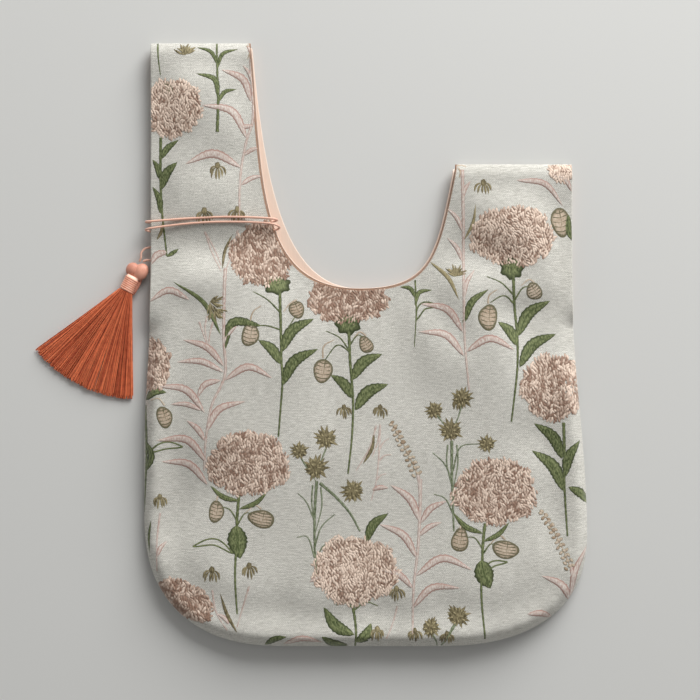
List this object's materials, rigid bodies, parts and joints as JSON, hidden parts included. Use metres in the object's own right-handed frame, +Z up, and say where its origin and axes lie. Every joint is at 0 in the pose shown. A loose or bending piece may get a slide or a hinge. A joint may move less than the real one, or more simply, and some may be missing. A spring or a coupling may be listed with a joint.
{
  "type": "handbag",
  "caption": "Soft fabric wrist bag lying flat, with a long and a short handle at its top corners, a curved open neck, satin lining and a hanging tassel.",
  "frame": {"origin": "middle of the bag's own footprint, without its cord and tassel, on the surface that it lies on", "axes": "the bag lies on its back: +Y from the bottom seam towards the long handle's top, +X towards the short handle, +Z up, out of the front panel"},
  "size_m": [0.3162, 0.344, 0.0145],
  "materials": {
    "ground_cloth": "ivory figured cloth with a fine woven ground, matt",
    "satin_lining": "peach satin, soft sheen",
    "cord_satin": "thin peach satin cord",
    "tassel_thread": "coral silk threads, soft sheen",
    "binding_thread": "pale peach thread, wound",
    "flower_thread": "beige woven floats, slightly raised",
    "leaf_thread": "sage green woven floats",
    "seed_thread": "olive woven floats",
    "sprig_thread": "dusty pink woven floats"
  },
  "bodies": {
    "root": {"front_panel": "ground_cloth", "back_panel": "ground_cloth", "front_lining": "satin_lining", "back_lining": "satin_lining", "hanging_cord": "cord_satin", "tassel_head": "tassel_thread", "tassel_binding": "binding_thread", "tassel_skirt": "tassel_thread", "flower_head_handle": "flower_thread", "flower_head_left": "flower_thread", "flower_head_corner": "flower_thread", "flower_head_shoulder": "flower_thread", "flower_head_neck": "flower_thread", "flower_head_short": "flower_thread", "flower_head_right": "flower_thread", "flower_head_low_left": "flower_thread", "flower_head_low_right": "flower_thread", "flower_head_bottom": "flower_thread", "leafy_stem_shoulder": "leaf_thread", "leafy_stem_neck": "leaf_thread", "leafy_stem_short": "leaf_thread", "leafy_stem_low_left": "leaf_thread", "leafy_stem_low_right": "leaf_thread", "leafy_stem_right": "leaf_thread", "leafy_stem_bottom": "leaf_thread", "seed_stem_left": "seed_thread", "seed_stem_right": "seed_thread", "seed_stem_bottom": "seed_thread", "pink_sprig_handle": "sprig_thread", "pink_sprig_left": "sprig_thread", "pink_sprig_neck": "sprig_thread", "pink_sprig_middle": "sprig_thread"}
  },
  "joints": []
}
